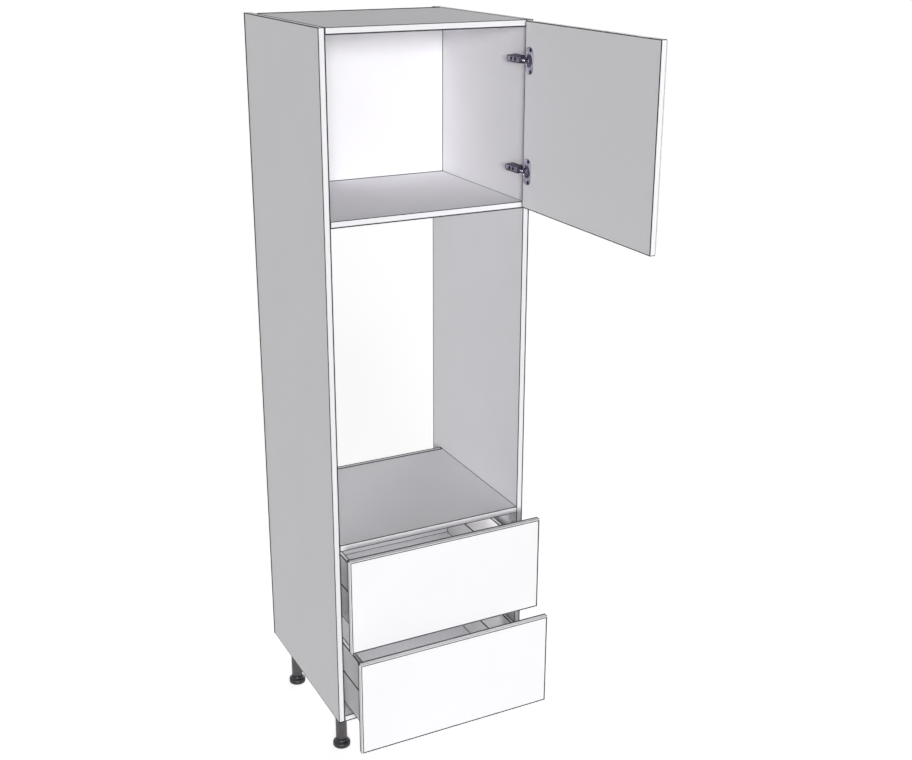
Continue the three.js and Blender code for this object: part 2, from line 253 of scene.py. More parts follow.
def smooth(piece, sharp=35):
    """Shades a piece smooth except at edges over sharp degrees."""
    activate(piece)
    bpy.ops.object.shade_smooth_by_angle(angle=math.radians(sharp))


def join(name, pieces):
    deselect()
    for piece in pieces:
        piece.select_set(True)
    bpy.context.view_layer.objects.active = pieces[0]
    if len(pieces) > 1:
        bpy.ops.object.join()
    joined = bpy.context.object
    joined.name = name
    return joined


def combine(piece, other, operation):
    """Changes the piece by another form, which is then removed."""
    boolean = piece.modifiers.new("combine", "BOOLEAN")
    boolean.object = other
    boolean.operation = operation
    boolean.solver = "EXACT"
    apply_modifiers(piece)
    discard(other)


def cut(piece, tool):
    combine(piece, tool, "DIFFERENCE")


def add_turned(name, centre, profile, steps=0, closed=False):
    """A piece turned on a vertical axis through centre, from (radius, height) pairs.

    A closed profile runs back to its first pair, and an open one is capped at both ends.
    """
    deselect()
    steps = steps or sizes().round_steps
    radius, height = profile[0]
    centre = Vector(centre)
    bpy.ops.mesh.primitive_circle_add(
        vertices=steps,
        radius=radius,
        fill_type="NOTHING" if closed else "NGON",
        location=centre + Vector((0, 0, height)),
    )
    bpy.ops.object.transform_apply(location=True, rotation=True, scale=True)
    piece = bpy.context.object
    edit()
    bpy.ops.mesh.select_all(action="SELECT")
    rings = list(profile[1:]) + ([profile[0]] if closed else [])
    for next_radius, next_height in rings:
        rise = (0, 0, next_height - height)
        if closed:
            bpy.ops.mesh.extrude_edges_move(TRANSFORM_OT_translate={"value": rise})
        else:
            bpy.ops.mesh.extrude_region_move(TRANSFORM_OT_translate={"value": rise})
        share = next_radius / radius
        bpy.ops.transform.resize(
            value=(share, share, 1),
            center_override=centre + Vector((0, 0, next_height)),
        )
        radius, height = next_radius, next_height
    bpy.ops.mesh.select_all(action="SELECT")
    bpy.ops.mesh.remove_doubles(threshold=WELD)
    bpy.ops.mesh.normals_make_consistent(inside=False)
    leave_edit()
    piece.name = name
    return piece


def turn_to(piece, direction, centre):
    """Turns a piece made on a vertical axis so that its top faces a direction."""
    activate(piece)
    spin = Vector((0, 0, 1)).rotation_difference(Vector(direction)).to_matrix().to_4x4()
    centre = Vector(centre)
    piece.matrix_world = spin
    piece.location = centre - spin @ centre
    bpy.ops.object.transform_apply(location=True, rotation=True, scale=True)
    return piece


def copy_piece(piece, name, shift):
    """A copy with its own mesh, moved by shift."""
    activate(piece)
    bpy.ops.object.duplicate(linked=False)
    copy = bpy.context.object
    copy.name = name
    copy.location = shift
    bpy.ops.object.transform_apply(location=True, rotation=False, scale=False)
    return copy


def settle(piece, body, slot, material, *replaced):
    """Gives a finished piece its material and its body, and hides the nodes it stands for. The slot
    is not used.
    """
    piece.data.materials.clear()
    piece.data.materials.append(material)
    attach(piece, body)
    if replaced:
        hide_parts(*replaced)
    return piece


def dress(node, material):
    """A new finish on a solid whose shape stays."""
    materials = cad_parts[node].data.materials
    materials.clear()
    materials.append(material)


# Materials


def add_node(tree, kind, settings=None, **inputs):
    """Adds a shader node with its settings, and sets or links each input.

    An input goes by its name, with _ for a space, or by its number, such as i6.
    """
    node = tree.nodes.new(kind)
    for key, value in (settings or {}).items():
        setattr(node, key, value)
    for key, value in inputs.items():
        numbered = key[0] == "i" and key[1:].isdigit()
        socket = node.inputs[int(key[1:]) if numbered else key.replace("_", " ")]
        if isinstance(value, bpy.types.NodeSocket):
            tree.links.new(value, socket)
        else:
            socket.default_value = value
    return node


def new_material(name):
    material = bpy.data.materials.new(name)
    material.use_nodes = True
    tree = material.node_tree
    tree.nodes.clear()
    output = tree.nodes.new("ShaderNodeOutputMaterial")
    return material, tree, output


def opaque(colour):
    return (*colour, 1)


def cloudy(tree, place, tone, size, detail, low, high, dark):
    """A tone that noise of one size takes down to a dark share of itself."""
    noise = add_node(tree, "ShaderNodeTexNoise", Vector=place, Scale=1 / size, Detail=detail)
    level = noise.outputs["Fac"]
    blend = add_node(tree, "ShaderNodeMapRange", Value=level, From_Min=low, From_Max=high)
    return add_node(
        tree,
        "ShaderNodeMix",
        {"data_type": "RGBA"},
        i0=blend.outputs[0],
        i6=opaque(tone),
        i7=opaque(channel * dark for channel in tone),
    ).outputs[2]


def grain_bump(tree, place, size, detail, strength, height):
    """The bump of a fine grain, with its size and its height in real lengths."""
    grain = add_node(tree, "ShaderNodeTexNoise", Vector=place, Scale=1 / size, Detail=detail)
    return add_node(
        tree,
        "ShaderNodeBump",
        Height=grain.outputs["Fac"],
        Strength=strength,
        Distance=height,
    ).outputs["Normal"]


def plain_finish(name, tone, cloud, grain=None, **surface):
    """A cloudy tone over a grain, from what cloudy and grain_bump take after their first inputs."""
    material, tree, output = new_material(name)
    place = add_node(tree, "ShaderNodeTexCoord").outputs["Object"]
    surface["Base_Color"] = cloudy(tree, place, tone, *cloud)
    if grain:
        surface["Normal"] = grain_bump(tree, place, *grain)
    shader = add_node(tree, "ShaderNodeBsdfPrincipled", **surface)
    tree.links.new(shader.outputs[0], output.inputs["Surface"])
    return material


def melamine_board():
    # Melamine-faced chipboard: white paper under clear resin, pressed with a fine pearl.
    # The eye gets a dull soft sheen, a very slight cloud in the white and no grain.
    return plain_finish(
        "melamine_faced_chipboard",
        colours().melamine,
        (180 * MM, 3, 0.35, 0.65, 0.985),
        (1.2 * MM, 2, 0.12, 0.05 * MM),
        Roughness=0.68,
        IOR=1.5,
        Specular_IOR_Level=0.35,
    )


def glue_line():
    # The hot-melt line between a board's face and its edging, a little uneven in tone.
    # The real one is 0.2 mm wide; the rest of the width it is laid on is painted shade, a dark band
    # along each edge.
    return plain_finish(
        "edging_glue_line",
        colours().glue_line,
        (40 * MM, 2, 0.3, 0.7, 0.82),
        Roughness=0.75,
        IOR=1.48,
        Specular_IOR_Level=0.3,
    )


def powder_coat():
    # Polyester powder coat on steel: white, with the fine orange peel of baked powder.
    return plain_finish(
        "powder_coated_steel",
        colours().powder_coat,
        (90 * MM, 2, 0.35, 0.65, 0.97),
        (1.6 * MM, 1, 0.2, 0.05 * MM),
        Roughness=0.42,
        IOR=1.5,
    )


PLASTICS = {
    "moulded_tube_polypropylene": "leg_plastic",
    "moulded_foot_polypropylene": "foot_plastic",
}


def moulded_plastic(name):
    # Injection-moulded polypropylene with a spark-eroded grain: charcoal, dull, slightly mottled.
    return plain_finish(
        name,
        getattr(colours(), PLASTICS[name]),
        (12 * MM, 3, 0.3, 0.7, 0.85),
        (0.8 * MM, 3, 0.25, 0.06 * MM),
        Roughness=0.48,
        IOR=1.49,
    )


def burnished_screw():
    # Oil-blackened screw steel: almost black, with a low shine on the rim.
    return plain_finish(
        "burnished_screw_steel",
        colours().screw_black,
        (3 * MM, 2, 0.3, 0.7, 0.7),
        Metallic=0.6,
        Roughness=0.42,
    )


def satin_front(name, backed=0):
    # Wrapped and lacquered fibreboard: a smooth satin skin with a faint roller stipple.
    # The eye gets a clean even white with softer, brighter edges than the carcass.
    # Where backed is the X of a rear face, that face has the carcass's duller white paper, which is
    # also painted shade on that face, and the skin takes over in the first third of a millimetre.
    material, tree, output = new_material(name)
    place = add_node(tree, "ShaderNodeTexCoord").outputs["Object"]
    cloud = cloudy(tree, place, colours().satin_front, 260 * MM, 2, 0.35, 0.65, 0.98)
    if backed:
        across = add_node(tree, "ShaderNodeSeparateXYZ", Vector=place).outputs["X"]
        depth = add_node(
            tree,
            "ShaderNodeMapRange",
            Value=across,
            From_Min=backed + 0.1 * MM,
            From_Max=backed + 0.3 * MM,
        )
        cloud = add_node(
            tree,
            "ShaderNodeMix",
            {"data_type": "RGBA"},
            i0=depth.outputs[0],
            i6=opaque(colours().melamine),
            i7=cloud,
        ).outputs[2]
    stipple = grain_bump(tree, place, 2.5 * MM, 1, 0.08, 0.04 * MM)
    shader = add_node(
        tree,
        "ShaderNodeBsdfPrincipled",
        Base_Color=cloud,
        Roughness=0.5,
        IOR=1.5,
        Specular_IOR_Level=0.4,
        Normal=stipple,
    )
    tree.links.new(shader.outputs[0], output.inputs["Surface"])
    return material


# Each plating's colour, its roughness and the length of its streaks in millimetres
PLATINGS = {
    "zinc_plated_steel": ("zinc", 0.34, 30),
    "nickel_plated_steel": ("nickel", 0.36, 12),
    "arm_nickel_steel": ("arm_nickel", 0.36, 12),
    "dark_nickel_steel": ("dark_nickel", 0.4, 12),
    "bright_nickel_steel": ("bright_nickel", 0.22, 12),
}
STREAK_WIDTH = 0.6


def plated_steel(name):
    # Pressed steel with a thin plating: streaks along the rolling direction and a slight cloud.
    colour, roughness, streak = PLATINGS[name]
    material, tree, output = new_material(name)
    place = add_node(tree, "ShaderNodeTexCoord").outputs["Object"]
    rolled = add_node(
        tree,
        "ShaderNodeMapping",
        Vector=place,
        Scale=(1 / (STREAK_WIDTH * MM), 1 / (streak * MM), 1 / (STREAK_WIDTH * MM)),
    )
    lines = add_node(
        tree, "ShaderNodeTexNoise", Vector=rolled.outputs[0], Scale=1, Detail=2
    ).outputs["Fac"]
    cloud = cloudy(tree, place, getattr(colours(), colour), 25 * MM, 3, 0.3, 0.7, 0.86)
    rough = add_node(
        tree,
        "ShaderNodeMapRange",
        Value=lines,
        To_Min=roughness - 0.07,
        To_Max=roughness + 0.1,
    )
    bump = add_node(tree, "ShaderNodeBump", Height=lines, Strength=0.15, Distance=0.02 * MM)
    shader = add_node(
        tree,
        "ShaderNodeBsdfPrincipled",
        Base_Color=cloud,
        Metallic=1,
        Roughness=rough.outputs[0],
        Normal=bump.outputs["Normal"],
    )
    tree.links.new(shader.outputs[0], output.inputs["Surface"])
    return material


MADE = {}


def finish(maker, *arguments):
    """The material that a maker function gives, made once for each name."""
    key = (maker, *arguments[:1])
    if key not in MADE:
        MADE[key] = maker(*arguments)
    return MADE[key]


def steel(name):
    return finish(plated_steel, name)


def plastic(name):
    return finish(moulded_plastic, name)


# Pieces


class HOUSING_OT_boards(Operator):
    """Carcass boards, fronts and drawer boards in their white finishes"""

    bl_idname = "housing.boards"
    bl_label = "Boards and fronts"

    def execute(self, context):
        for node in (*CARCASS_BOARDS, OVEN_SHELF, *BACK_BOARDS):
            dress(node, finish(melamine_board))
        # The door's rear face is paper-backed, and its duller white also serves as painted shade on
        # that face.
        door_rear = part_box("top_door_panel")[0].x
        dress("top_door_panel", finish(satin_front, "paper_backed_fibreboard", door_rear))
        for drawer in DRAWERS:
            dress(f"{drawer}_drawer_front", finish(satin_front, "satin_wrapped_fibreboard"))
            for part in ("bottom", "back"):
                dress(f"{drawer}_drawer_{part}", finish(melamine_board))
            for side in SIDES:
                for part in ("profile", "side_panel"):
                    dress(f"{drawer}_drawer_{side}_{part}", finish(powder_coat))
                for part in ("cabinet_rail", "middle_rail", "drawer_rail", "front_bracket"):
                    dress(f"{drawer}_drawer_{side}_{part}", steel("zinc_plated_steel"))
        for hinge in HINGES:
            for part in ("plate", "arm", "link", "cup"):
                dress(f"{hinge}_hinge_{part}", steel("nickel_plated_steel"))
        for corner in CORNERS:
            for part in ("socket", "tube", "foot"):
                dress(f"{corner}_leg_{part}", plastic("moulded_tube_polypropylene"))
        return {"FINISHED"}


# Seams and lines, in millimetres: how far a seam is let into the board, how far an edge line
# reaches back from the face, and its widths: below and at the right, above and at the left.
# Seams and edge lines are painted shade along the edges, heavier below and at the right.
SEAM_SUNK = 0.15
EDGE_LINE_DEPTH = 0.4
EDGE_LINE_WIDTHS = (6.2, 4.5)
# The block an edge line is cut from, in radii of the front's round edge
EDGE_LINE_REACH = 2.5


def add_seam_strips(low, high, heavy=False, front=0, side=0):
    """Dark strips of painted shade on both sides of a board's edges; heavy ones are wider at its
    outer ends.
    """
    size = sizes()
    rise = Vector((size.seam_rise,) * 3)
    low, high = low - rise, high + rise
    board = add_block("seam_strips", low, high)
    side, front = side or size.side_seam_width, front or size.seam_width
    select_faces(board, lambda face: abs(face.normal.y) < 0.5)
    bpy.ops.mesh.inset(thickness=side, use_individual=True)
    bpy.ops.mesh.delete(type="FACE")
    if heavy:
        more = size.outer_seam_width - side
        move_corners(board, lambda p: near(p.y, high.y - side), (0, -more, 0))
    select_faces(board, lambda face: abs(face.normal.y) > 0.5)
    bpy.ops.mesh.inset(thickness=front, use_individual=True)
    bpy.ops.mesh.delete(type="FACE")
    if heavy:
        more = size.outer_seam_width - front
        field = lambda p: near(p.y, low.y) or near(p.y, high.y)
        foot = lambda p: field(p) and near(p.z, low.z + front)
        right = lambda p: field(p) and near(p.x, high.x - front)
        move_corners(board, foot, (0, 0, more))
        move_corners(board, right, (-more, 0, 0))
    leave_edit()
    return board


def add_front_strips(node, towards):
    """Strips on the flat part of a front that faces along -Y or +X, none on its rounding."""
    low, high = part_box(node)
    size = sizes()
    radius = size.front_radius
    if towards == "-Y":
        low.y += radius
        rounded = lambda face: face.center.y < low.y + radius and abs(face.normal.y) < 0.5
    else:
        high.x -= radius
        rounded = lambda face: face.center.x > high.x - radius and abs(face.normal.x) < 0.5
    strips = add_seam_strips(low, high)
    select_faces(strips, rounded)
    bpy.ops.mesh.delete(type="FACE")
    leave_edit()
    if towards == "-Y":
        inner = high.y + size.seam_rise - size.side_seam_width
        shift = size.side_seam_width - size.front_rear_seam
        move_corners(strips, lambda p: near(p.y, inner), (0, shift, 0))
    return strips


def add_seams(name, boards, body, slot, fronts=(), **widths):
    """The seams of several boards and fronts as one piece."""
    pieces = [add_seam_strips(*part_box(node), **widths) for node in boards]
    pieces += [add_front_strips(node, towards) for node, towards in fronts]
    piece = join(name, pieces)
    strips = piece.modifiers.new("strips", "SOLIDIFY")
    strips.thickness = sizes().seam_rise + SEAM_SUNK * MM
    strips.offset = -1
    strips.use_even_offset = True
    apply_modifiers(piece)
    return settle(piece, body, slot, finish(glue_line))


def add_edge_line(name, node, towards, body):
    """A dark line where the flat of a front starts to round, all the way round: painted shade along
    the rounding, wider below and at the right.
    """
    low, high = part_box(node)
    size = sizes()
    rise, radius = size.seam_rise / 2, size.front_radius
    depth = EDGE_LINE_DEPTH * MM
    outer_low, outer_high = low - Vector((rise,) * 3), high + Vector((rise,) * 3)
    if towards == "-Y":
        outer_high.y = low.y + EDGE_LINE_REACH * radius
        rim = lambda p: p.y < low.y
        rear = (outer_low + Vector((-MM, depth + rise, -MM)), outer_high + Vector((MM,) * 3))
    else:
        outer_low.x = high.x - EDGE_LINE_REACH * radius
        rim = lambda p: p.x > high.x
        rear = (outer_low - Vector((MM,) * 3), outer_high + Vector((-depth - rise, MM, MM)))
    line = add_block(name, outer_low, outer_high)
    bevel_edges(line, lambda a, b: rim(a) and rim(b), radius + rise, segments=8)
    cut(line, add_block("rear", *rear))
    wide, narrow = (width * MM for width in EDGE_LINE_WIDTHS)
    field_low = outer_low + Vector((narrow, narrow, wide))
    field_high = outer_high - Vector((wide, wide, narrow))
    if towards == "-Y":
        field_low.y, field_high.y = outer_low.y - MM, outer_high.y
    else:
        field_low.x, field_high.x = outer_low.x, outer_high.x + MM
    cut(line, add_block("field", field_low, field_high))
    return settle(line, body, "front_board", finish(glue_line))


BEAD_SUNK = 0.1
BEAD_ARRIS = 0.6


def add_rear_beads():
    """Proud dark beads along the rear edges of the left side and the top, painted shade lines at
    those edges.
    """
    size = sizes()
    width, proud = size.outer_seam_width, size.rear_bead
    sunk = BEAD_SUNK * MM
    low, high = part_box("left_side_panel")
    left = add_block(
        "left_bead",
        (low.x - proud, high.y - width, low.z),
        (low.x + sunk, high.y + size.seam_rise, high.z + proud / 2),
    )
    low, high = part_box("top_panel")
    top = add_block(
        "top_bead",
        (low.x + MM, high.y - width, high.z - sunk),
        (high.x - MM, high.y + size.seam_rise, high.z + proud),
    )
    for bead in (left, top):
        soften(bead, BEAD_ARRIS, segments=3)
    beads = join("carcass_rear_beads", [left, top])
    return settle(beads, "carcass", "board", finish(glue_line))


class HOUSING_OT_seams(Operator):
    """Glue lines along the banded edges of the boards and fronts, widened into painted shade"""

    bl_idname = "housing.seams"
    bl_label = "Edging seams"

    def execute(self, context):
        add_seams("carcass_edging_seams", CARCASS_BOARDS, "carcass", "board", heavy=True)
        add_rear_beads()
        add_seams(f"{OVEN_SHELF}_edging_seams", [OVEN_SHELF], "carcass", "board")
        widths = {"front": sizes().back_seam_width, "side": sizes().back_top_seam}
        add_seams("back_panel_seams", BACK_BOARDS, "carcass", "board", **widths)
        fronts = [("top_door_panel", "+X")]
        add_seams("top_door_edging_seams", [], "top_door", "front_board", fronts)
        add_edge_line("top_door_edge_line", "top_door_panel", "+X", "top_door")
        for drawer in DRAWERS:
            body = f"{drawer}_drawer"
            boards = [f"{body}_bottom", f"{body}_back"]
            for side in SIDES:
                boards += [f"{body}_{side}_side_panel", f"{body}_{side}_profile"]
            front = f"{body}_front"
            add_seams(f"{body}_edging_seams", boards, body, "front_board", [(front, "-Y")])
            add_edge_line(f"{front}_edge_line", front, "-Y", body)
        return {"FINISHED"}


# A screw head in shares of its radius and of its rise: outline, half length and half width
# of an arm of the cross, and the height of the cross's floor
SCREW_CROWN = ((1, 0), (1, 0.35), (0.93, 0.62), (0.72, 0.86), (0.4, 0.97), (0.1, 1))
RECESS_ARM = (0.58, 0.13)
RECESS_FLOOR = 0.35
SCREW_STEPS = 28


def add_screw(name, radius, rise):
    """A cross-recessed screw head that stands on the origin and faces up."""
    profile = [(share * radius, height * rise) for share, height in SCREW_CROWN]
    head = add_turned(name, (0, 0, 0), profile, steps=SCREW_STEPS)
    length, width = (share * radius for share in RECESS_ARM)
    for half_x, half_y in ((length, width), (width, length)):
        low = (-half_x, -half_y, RECESS_FLOOR * rise)
        high = (half_x, half_y, 1.5 * rise)
        cut(head, add_block("recess", low, high))
    smooth(head)
    return head


def set_screws(name, model, places, direction):
    """Copies of one screw at several places, as one piece; the model stays."""
    copies = []
    for place in places:
        copy = copy_piece(model, name, (0, 0, 0))
        turn_to(copy, direction, (0, 0, 0))
        copies.append(copy_piece(copy, name, place))
        discard(copy)
    return join(name, copies)


LEG_FOOT_PROFILE = (
    (22.2, 0), (24.5, 0.5), (25.8, 1.8), (26.2, 3.6), (26.2, 10.4), (25.9, 12.4), (25.0, 14.2),
    (23.3, 15.8), (20.8, 17.2), (18.8, 18.6), (17.9, 20.2), (17.6, 22.6), (17.0, 23.8),
    (15.6, 24.5), (14, 24.6), (14, 99), (13, 100),
)
LEG_TUBE_PROFILE = (
    (14.4, 100.4), (14.4, 28.6), (14.9, 27.8), (16.6, 27.8), (17.0, 28.3), (17.0, 137),
    (15.5, 137.6), (15.5, 144.6), (2, 144.6), (2, 100.4),
)
LEG_SOCKET_PROFILE = (
    (15.9, 145), (15.9, 139.6), (16.4, 139), (18.1, 139), (18.5, 139.5), (18.5, 143),
    (19.2, 144.4), (20.4, 145), (25.9, 145), (26.5, 145.6), (26.5, 150), (2, 150), (2, 145),
)
# The flat gussets under a leg's plate: the box of one, from the leg's axis, and its slope
GUSSET_COUNT = 8
GUSSET_LOW = (17.8, -0.8, 140.5)
GUSSET_HIGH = (25.6, 0.8, 145.4)
GUSSET_SLOPE = 4.6
# The finger notches round a foot's rim: the ring of their axes and the outline of one
NOTCH_COUNT = 8
NOTCH_RING = 29
NOTCH_PROFILE = ((4.2, -1), (4.2, 5.4), (3.4, 6.4))
NOTCH_STEPS = 24
LEG_SHARP = 40


def ring_profile(pairs):
    return [(radius * MM, height * MM) for radius, height in pairs]


def leg_axis(corner):
    low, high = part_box(f"{corner}_leg_foot")
    return Vector(((low.x + high.x) / 2, (low.y + high.y) / 2, 0))


def add_leg_socket(centre):
    x, y = centre.x, centre.y
    socket = add_turned("leg_socket", (x, y, 0), ring_profile(LEG_SOCKET_PROFILE), closed=True)
    low = (x + GUSSET_LOW[0] * MM, y + GUSSET_LOW[1] * MM, GUSSET_LOW[2] * MM)
    high = (x + GUSSET_HIGH[0] * MM, y + GUSSET_HIGH[1] * MM, GUSSET_HIGH[2] * MM)
    lean = lambda a, b: along(1)(a, b) and a.x > high[0] - MM and a.z < low[2] + MM
    for step in range(GUSSET_COUNT):
        rib = add_block("gusset", low, high)
        bevel_edges(rib, lean, GUSSET_SLOPE * MM, segments=1)
        edit()
        bpy.ops.mesh.select_all(action="SELECT")
        bpy.ops.transform.rotate(
            value=step * 2 * math.pi / GUSSET_COUNT,
            orient_axis="Z",
            center_override=(x, y, 0),
        )
        leave_edit()
        combine(socket, rib, "UNION")
    smooth(socket, LEG_SHARP)
    return socket


def add_leg_tube(centre):
    tube = add_turned("leg_tube", centre, ring_profile(LEG_TUBE_PROFILE), closed=True)
    smooth(tube, LEG_SHARP)
    return tube


def add_leg_foot(centre):
    x, y = centre.x, centre.y
    foot = add_turned("leg_foot", (x, y, 0), ring_profile(LEG_FOOT_PROFILE))
    # Finger notches, for turning the foot by hand
    ring = NOTCH_RING * MM
    for step in range(NOTCH_COUNT):
        angle = (step + 0.5) * 2 * math.pi / NOTCH_COUNT
        axis = (x + ring * math.cos(angle), y + ring * math.sin(angle), 0)
        cut(foot, add_turned("notch", axis, ring_profile(NOTCH_PROFILE), steps=NOTCH_STEPS))
    smooth(foot, LEG_SHARP)
    return foot


class HOUSING_OT_legs(Operator):
    """Four screw-in legs, each a socket, a tube and a foot"""

    bl_idname = "housing.legs"
    bl_label = "Legs"

    def execute(self, context):
        first = leg_axis(CORNERS[0])
        socket, tube, foot = add_leg_socket(first), add_leg_tube(first), add_leg_foot(first)
        light, dark = (plastic(name) for name in PLASTICS)
        models = (
            # The socket takes the feet's dark plastic as painted shadow: its collar shows as a dark
            # band under the carcass.
            ("socket", socket, "carcass", dark),
            ("tube", tube, "carcass", light),
            ("foot", foot, "", dark),
        )
        for corner in CORNERS:
            shift = leg_axis(corner) - first
            for part, model, body, polymer in models:
                piece = copy_piece(model, f"{corner}_moulded_leg_{part}", shift)
                body = body or f"{corner}_foot"
                settle(piece, body, "leg_plastic", polymer, f"{corner}_leg_{part}")
        discard(socket, tube, foot)
        return {"FINISHED"}


# The hinges' sizes in millimetres, first the small rounds on the edges of their parts
ARRIS = {
    "plate": 0.7,
    "arm": 0.5,
    "panel": 0.2,
    "flange": 0.35,
    "insert": 0.25,
    "cheek": 0.3,
    "link": 0.5,
}
# The cross plate and the arm, which ends a little short of the plate and is narrower
PLATE_WING = 1.6
PLATE_ROUND = 7
ARM_SHORTENED = 3
ARM_REAR_ROUND = 6.5
ARM_FRONT_ROUND = 2
ARM_REAR_WALL = 2
# The border and the sunk field on the arm's back, and the panel that lies in the field
ARM_BORDER = 2.6
ARM_SUNK = 0.5
PANEL_MARGIN = 3
PANEL_ROUND = 3.4
PANEL_FACES = (0.15, 0.7)
# The cup's flange and the dark rim round it, each with its round corners and its bore
FLANGE_SHEET = 1.2
FLANGE_ROUND = 14.8
FLANGE_BORE = 17.1
RIM_WIDTH = 0.9
RIM_BACK = 0.55
RIM_ROUND = 15.6
RIM_BORE = 17.3
# The guide in the pot: a disc with a slot that is open on the hinge's side
INSERT_PROFILE = ((16.6, 0.9), (16.6, 2.6))
SLOT_START = -8.5
SLOT_HALF = 6.9
# The pot's wall, from its axis round and back: radius, and how far short of the cup's whole
# depth, or for the lip how far behind the cup's face
POT_INSIDE = ((1, 0.8), (15.4, 0.8), (16.4, 1.4), (16.7, 2.6))
POT_LIP = ((16.7, 0.5), (17.0, 0), (17.5, 0))
POT_OUTSIDE = ((17.5, 2.4), (16.2, 0.3), (15.2, 0), (1, 0))
# The two cheeks in the pot: distance from its middle, length, and cover over and under them
CHEEK_SPAN = (5.3, 6.5)
CHEEK_LENGTH = (-2.5, 15.2)
CHEEK_COVER = (2, 0.6)
# The link: its pin (x and y), the back of its bar, its sheet, and the end of its hook
LINK_PIN = (266, 26.5)
LINK_BAR_BACK = 264.75
LINK_SHEET = 2.5
LINK_COVER = 0.6
LINK_HALF_WIDTH = 5
LINK_DROP = 0.45
SPRING_HALF_WIDTH = 2.1
EYE_PROFILE = ((2.2, -5), (2.6, -4.6), (2.6, 4.6), (2.2, 5))
PIN_PROFILE = ((0.8, -9), (1.3, -8.8), (1.5, -8.4), (1.5, 8.4), (1.3, 8.8), (0.8, 9))
# Rivets: outline, and distance from the flange's edge on the hinge's side and from its middle
RIVET_PROFILE = ((1.9, -0.3), (1.9, 0.3), (1.6, 0.8), (1.0, 1.1), (0.3, 1.2))
RIVET_MARGIN = 3.4
RIVET_SPREAD = 10.2
# Screws: rise, the two on the arm (y), and the two on the flange, from the cup's middle
HINGE_SCREW_RISE = 1.5
ARM_SCREWS = (48, 68)
ARM_SCREW_SUNK = 0.4
CUP_SCREWS = (-28, 28)
CUP_SCREW_OFFSET = 7.5
CUP_SCREW_SUNK = 0.1


def hinge_box(part):
    """The box of a part of the first hinge, on which the models are made."""
    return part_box(f"{HINGES[0]}_hinge_{part}")


def hinge_height(hinge=HINGES[0]):
    low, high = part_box(f"{hinge}_hinge_arm")
    return (low.z + high.z) / 2


def cup_middle():
    low, high = hinge_box("cup")
    return Vector((low.x, (low.y + high.y) / 2, hinge_height()))


def add_hinge_plate():
    """The cross plate that the arm is clipped to, a little wider than the arm."""
    low, high = hinge_box("plate")
    wing = Vector((0, 0, PLATE_WING * MM))
    low, high = low - wing, high + wing
    plate = add_block("hinge_cross_plate", low, high)
    rear = lambda a, b: along(0)(a, b) and a.y > high.y - MM
    bevel_edges(plate, rear, PLATE_ROUND * MM, segments=6)
    soften(plate, ARRIS["plate"])
    return plate


def arm_box():
    low, high = hinge_box("arm")
    high.y -= ARM_SHORTENED * MM
    return low, high


def add_hinge_arm():
    """A pressed channel, open towards the plate, with a sunk field on its back."""
    low, high = arm_box()
    sheet = sizes().arm_sheet
    arm = add_block("hinge_pressed_arm", low, high)
    rear = lambda a, b: along(0)(a, b) and a.y > high.y - MM
    bevel_edges(arm, rear, ARM_REAR_ROUND * MM, segments=8)
    front = lambda a, b: along(0)(a, b) and a.y < low.y + MM
    bevel_edges(arm, front, ARM_FRONT_ROUND * MM, segments=4)
    select_faces(arm, lambda face: face.normal.x < -0.9)
    bpy.ops.mesh.inset(thickness=ARM_BORDER * MM)
    bpy.ops.mesh.inset(thickness=ARM_SUNK * MM, depth=-ARM_SUNK * MM)
    leave_edit()
    # The hollow runs out through the arm's front and its open side, and stops short of its rear
    hollow_low = low + Vector((sheet + ARM_SUNK * MM, -CLEAR, sheet))
    hollow_high = high + Vector((CLEAR, -sheet - ARM_REAR_WALL * MM, -sheet))
    cut(arm, add_block("hollow", hollow_low, hollow_high))
    soften(arm, ARRIS["arm"], sharp=50)
    return arm


def add_arm_panel():
    """The bright panel in the sunk field on the arm's back."""
    low, high = arm_box()
    back, face = (distance * MM for distance in PANEL_FACES)
    margin = PANEL_MARGIN * MM
    panel = add_block(
        "hinge_arm_panel",
        low + Vector((back, margin, margin)),
        Vector((low.x + face, high.y - margin, high.z - margin)),
    )
    bevel_edges(panel, along(0), PANEL_ROUND * MM, segments=6)
    soften(panel, ARRIS["panel"], sharp=60)
    return panel


def bore_flange(plate, radius):
    """Opens a plate on the cup's face over the pot."""
    middle = cup_middle()
    bore = add_turned("bore", middle, ring_profile([(radius, -3), (radius, 4)]))
    cut(plate, turn_to(bore, (1, 0, 0), middle))


def add_flange_rim():
    """The dark edge that shows round the cup's flange: a dark plate under it, painted shade round
    the flange.
    """
    low, high = hinge_box("cup")
    rim = Vector((0, RIM_WIDTH * MM, RIM_WIDTH * MM))
    plate = add_block(
        "hinge_cup_rim",
        low + Vector((RIM_BACK * MM, 0, 0)) - rim,
        Vector((low.x + FLANGE_SHEET * MM, high.y, high.z)) + rim,
    )
    bevel_edges(plate, along(0), RIM_ROUND * MM, segments=10)
    bore_flange(plate, RIM_BORE)
    smooth(plate, sharp=60)
    return plate


def add_cup_insert():
    """A U-shaped guide in the pot that leaves the link its slot."""
    middle = cup_middle()
    insert = add_turned("hinge_cup_insert", middle, ring_profile(INSERT_PROFILE))
    turn_to(insert, (1, 0, 0), middle)
    slot_low = middle + Vector((-2 * MM, SLOT_START * MM, -SLOT_HALF * MM))
    slot_high = middle + Vector((6 * MM, 20 * MM, SLOT_HALF * MM))
    cut(insert, add_block("slot", slot_low, slot_high))
    soften(insert, ARRIS["insert"], sharp=50)
    return insert


